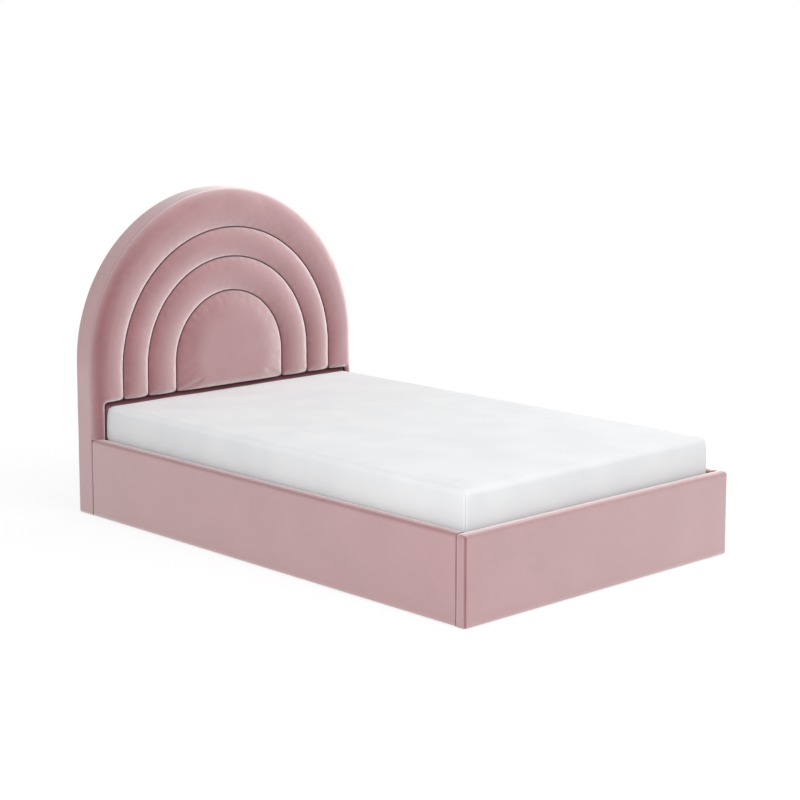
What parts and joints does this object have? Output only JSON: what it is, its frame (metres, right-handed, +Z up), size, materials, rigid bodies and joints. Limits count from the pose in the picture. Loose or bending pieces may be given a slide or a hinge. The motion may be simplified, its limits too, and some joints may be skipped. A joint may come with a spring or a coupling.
{
  "type": "ottoman bed",
  "caption": "Upholstered ottoman bed with an arched, channelled headboard and a slatted mattress platform that lifts from the foot on four-bar arms over a storage space.",
  "frame": {"origin": "on the floor, in the middle of the bed's overall width and length", "axes": "+X to the right as seen from the foot, +Y towards the headboard, +Z up"},
  "size_m": [1.3, 2.074, 1.2138],
  "materials": {
    "velvet": "short-pile blush pink velvet",
    "mattress_cloth": "white stretch knit",
    "back_cloth": "dark non-woven backing cloth",
    "board": "raw engineered board",
    "timber": "planed softwood",
    "floor_board": "smooth hardboard",
    "slat_wood": "lacquered bent beech plywood",
    "black_plastic": "moulded, satin",
    "painted_steel": "black powder coat",
    "plated_steel": "zinc plated",
    "strut_paint": "gloss black paint",
    "rod_chrome": "ground and chromed",
    "webbing": "woven polyester webbing"
  },
  "bodies": {
    "base": {"headboard_front_board": "board", "headboard_back_panel": "back_cloth", "headboard_border": "velvet", "headboard_post_left": "timber", "headboard_post_right": "timber", "headboard_lower_batten": "timber", "headboard_middle_batten": "timber", "headboard_upper_batten": "timber", "headboard_centre_stud": "timber", "headboard_outer_channel": "velvet", "headboard_second_channel": "velvet", "headboard_third_channel": "velvet", "headboard_centre_pad": "velvet", "headboard_lower_panel": "velvet", "side_rail_board_left": "board", "side_rail_board_right": "board", "side_rail_cover_left": "velvet", "side_rail_cover_right": "velvet", "side_rail_ledge_left": "timber", "side_rail_ledge_right": "timber", "footboard_board": "board", "footboard_cover": "velvet", "footboard_ledge": "timber", "headboard_ledge": "timber", "floor_panel_left": "floor_board", "floor_panel_right": "floor_board", "floor_centre_beam": "timber", "glides": "black_plastic", "foot_bracket_left": "plated_steel", "foot_bracket_right": "plated_steel", "head_bracket_left": "plated_steel", "head_bracket_right": "plated_steel", "frame_bolts": "plated_steel", "lift_base_plate_left": "plated_steel", "lift_base_plate_right": "plated_steel", "lift_bolts": "plated_steel", "lift_lower_pins": "plated_steel", "strut_lower_studs": "plated_steel"},
    "platform": {"platform_side_tube_left": "painted_steel", "platform_side_tube_right": "painted_steel", "platform_head_tube": "painted_steel", "platform_foot_tube": "painted_steel", "platform_centre_tube": "painted_steel", "platform_end_caps": "black_plastic", "slats": "slat_wood", "slat_holders": "black_plastic", "mattress_stops": "painted_steel", "lift_strap": "webbing", "lift_top_plate_left": "painted_steel", "lift_top_plate_right": "painted_steel", "lift_upper_pins": "plated_steel", "mattress": "mattress_cloth"},
    "rear_link_left": {"rear_link_left": "plated_steel"},
    "rear_link_right": {"rear_link_right": "plated_steel"},
    "front_link_left": {"front_link_left": "plated_steel"},
    "front_link_right": {"front_link_right": "plated_steel"},
    "strut_tube_left": {"strut_tube_left": "strut_paint"},
    "strut_tube_right": {"strut_tube_right": "strut_paint"},
    "strut_rod_left": {"strut_rod_left": "rod_chrome"},
    "strut_rod_right": {"strut_rod_right": "rod_chrome"}
  },
  "joints": [
    {"name": "lift", "type": "hinge", "parent": "rear_link_left", "child": "platform", "pos_m": [0, 0.561, 0.173], "axis": [-1, 0, 0], "range_deg": [0, 62.8]},
    {"name": "rear_link_left_swing", "type": "hinge", "parent": "base", "child": "rear_link_left", "pos_m": [0, 0.415, 0.088], "axis": [1, 0, 0], "range_deg": [0, 31]},
    {"name": "rear_link_right_swing", "type": "hinge", "parent": "base", "child": "rear_link_right", "pos_m": [0, 0.415, 0.088], "axis": [1, 0, 0], "range_deg": [0, 31]},
    {"name": "front_link_left_swing", "type": "hinge", "parent": "base", "child": "front_link_left", "pos_m": [0, 0.087, 0.055], "axis": [1, 0, 0], "range_deg": [0, 18.2]},
    {"name": "front_link_right_swing", "type": "hinge", "parent": "base", "child": "front_link_right", "pos_m": [0, 0.087, 0.055], "axis": [1, 0, 0], "range_deg": [0, 18.2]},
    {"name": "strut_tube_left_swing", "type": "hinge", "parent": "base", "child": "strut_tube_left", "pos_m": [0, 0.703, 0.046], "axis": [1, 0, 0], "range_deg": [-8.6, 0]},
    {"name": "strut_tube_right_swing", "type": "hinge", "parent": "base", "child": "strut_tube_right", "pos_m": [0, 0.703, 0.046], "axis": [1, 0, 0], "range_deg": [-8.6, 0]},
    {"name": "strut_rod_left_swing", "type": "hinge", "parent": "front_link_left", "child": "strut_rod_left", "pos_m": [0, 0.343, 0.14597], "axis": [1, 0, 0], "range_deg": [-26.7, 0]},
    {"name": "strut_rod_right_swing", "type": "hinge", "parent": "front_link_right", "child": "strut_rod_right", "pos_m": [0, 0.343, 0.14597], "axis": [1, 0, 0], "range_deg": [-26.7, 0]}
  ],
  "couplings": [
    {"joint": "rear_link_left_swing", "follows": "lift", "ratio": 0.49045},
    {"joint": "rear_link_right_swing", "follows": "lift", "ratio": 0.49045},
    {"joint": "front_link_left_swing", "follows": "lift", "ratio": 0.2879},
    {"joint": "front_link_right_swing", "follows": "lift", "ratio": 0.2879},
    {"joint": "strut_tube_left_swing", "follows": "lift", "ratio": -0.13519},
    {"joint": "strut_tube_right_swing", "follows": "lift", "ratio": -0.13519},
    {"joint": "strut_rod_left_swing", "follows": "lift", "ratio": -0.42309},
    {"joint": "strut_rod_right_swing", "follows": "lift", "ratio": -0.42309}
  ]
}
